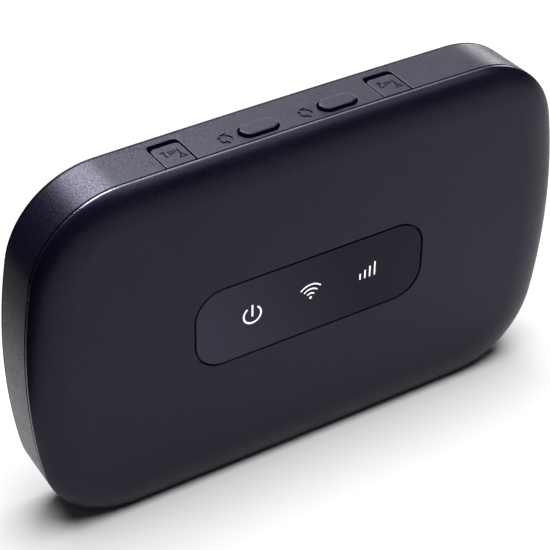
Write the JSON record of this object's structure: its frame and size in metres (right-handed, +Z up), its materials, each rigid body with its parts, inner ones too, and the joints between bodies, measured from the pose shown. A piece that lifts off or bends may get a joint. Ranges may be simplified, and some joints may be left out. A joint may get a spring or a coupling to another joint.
{
  "type": "mobile hotspot",
  "caption": "Pocket Wi-Fi hotspot: a slim rounded slab with an indicator window, top-edge buttons, hinged antenna-jack flaps, a pull-off back and a removable battery.",
  "frame": {"origin": "middle of the footprint of the device standing on its long bottom edge: the bottom centre of its box", "axes": "+Z up, from the bottom edge to the edge with the buttons; -Y out of the front face with the indicator window; +Y out of the back cover; +X to the right seen from the front"},
  "size_m": [0.105, 0.0126, 0.0671],
  "materials": {
    "shell_plastic": "matte, finely textured dark blue-black",
    "window_plastic": "satin smoked",
    "inner_plastic": "moulded black",
    "foam": "soft black foam and adhesive",
    "diffuser": "milky white light guide",
    "board": "green solder mask",
    "tin": "tinned sheet steel",
    "gold": "gold plated",
    "insulator": "white fluoropolymer",
    "copper": "thin bare copper strip",
    "screw_steel": "zinc-plated steel",
    "battery_sleeve": "dark printed sleeve over an aluminium can"
  },
  "bodies": {
    "housing": {"front_shell": "shell_plastic", "rear_housing": "shell_plastic", "indicator_window": "window_plastic", "battery_connector": "inner_plastic", "usb_tongue": "inner_plastic", "window_tape": "foam", "light_baffle": "foam", "power_light_guide": "diffuser", "power_led": "diffuser", "wifi_light_guide": "diffuser", "wifi_led": "diffuser", "signal_light_guide": "diffuser", "signal_led": "diffuser", "main_board": "board", "modem_shield": "tin", "wifi_shield": "tin", "power_shield": "tin", "sim_holder": "tin", "memory_card_holder": "tin", "usb_shell": "tin", "power_switch": "tin", "wps_switch": "tin", "antenna_jack_1_shell": "gold", "antenna_jack_1_contact": "gold", "antenna_jack_2_shell": "gold", "antenna_jack_2_contact": "gold", "battery_contact_1": "gold", "battery_contact_2": "gold", "battery_contact_3": "gold", "battery_contact_4": "gold", "antenna_jack_1_insulator": "insulator", "antenna_jack_2_insulator": "insulator", "cellular_antenna_main": "copper", "cellular_antenna_second": "copper", "wifi_antenna": "copper", "case_screw_1": "screw_steel", "case_screw_2": "screw_steel", "case_screw_3": "screw_steel", "case_screw_4": "screw_steel"},
    "power_button": {"power_button": "shell_plastic", "power_switch_plunger": "inner_plastic"},
    "wps_button": {"wps_button": "shell_plastic", "wps_switch_plunger": "inner_plastic"},
    "antenna_flap_1": {"antenna_flap_1": "shell_plastic"},
    "antenna_flap_2": {"antenna_flap_2": "shell_plastic"},
    "back_cover": {"back_cover": "shell_plastic"},
    "battery": {"battery_cell": "battery_sleeve", "battery_end_cap": "inner_plastic", "battery_pad_1": "gold", "battery_pad_2": "gold", "battery_pad_3": "gold", "battery_pad_4": "gold"}
  },
  "joints": [
    {"name": "power_press", "type": "slide", "parent": "housing", "child": "power_button", "axis": [0, 0, -1], "range_m": [0, 0.0004], "stiffness_N_per_m": 1200, "springref_m": -0.0005},
    {"name": "wps_press", "type": "slide", "parent": "housing", "child": "wps_button", "axis": [0, 0, -1], "range_m": [0, 0.0004], "stiffness_N_per_m": 1200, "springref_m": -0.0005},
    {"name": "flap_1_swing", "type": "hinge", "parent": "housing", "child": "antenna_flap_1", "pos_m": [-0.0231, -0.00275, 0.06608], "axis": [1, 0, 0], "range_deg": [0, 95]},
    {"name": "flap_2_swing", "type": "hinge", "parent": "housing", "child": "antenna_flap_2", "pos_m": [0.01805, -0.00275, 0.06608], "axis": [1, 0, 0], "range_deg": [0, 95]},
    {"name": "back_cover_pull", "type": "slide", "parent": "housing", "child": "back_cover", "axis": [0, 1, 0], "range_m": [0, 0.04]},
    {"name": "battery_lift", "type": "slide", "parent": "housing", "child": "battery", "axis": [0, 1, 0], "range_m": [0, 0.016]}
  ],
  "couplings": [
    {"joint": "battery_lift", "follows": "back_cover_pull", "ratio": 0.4}
  ]
}
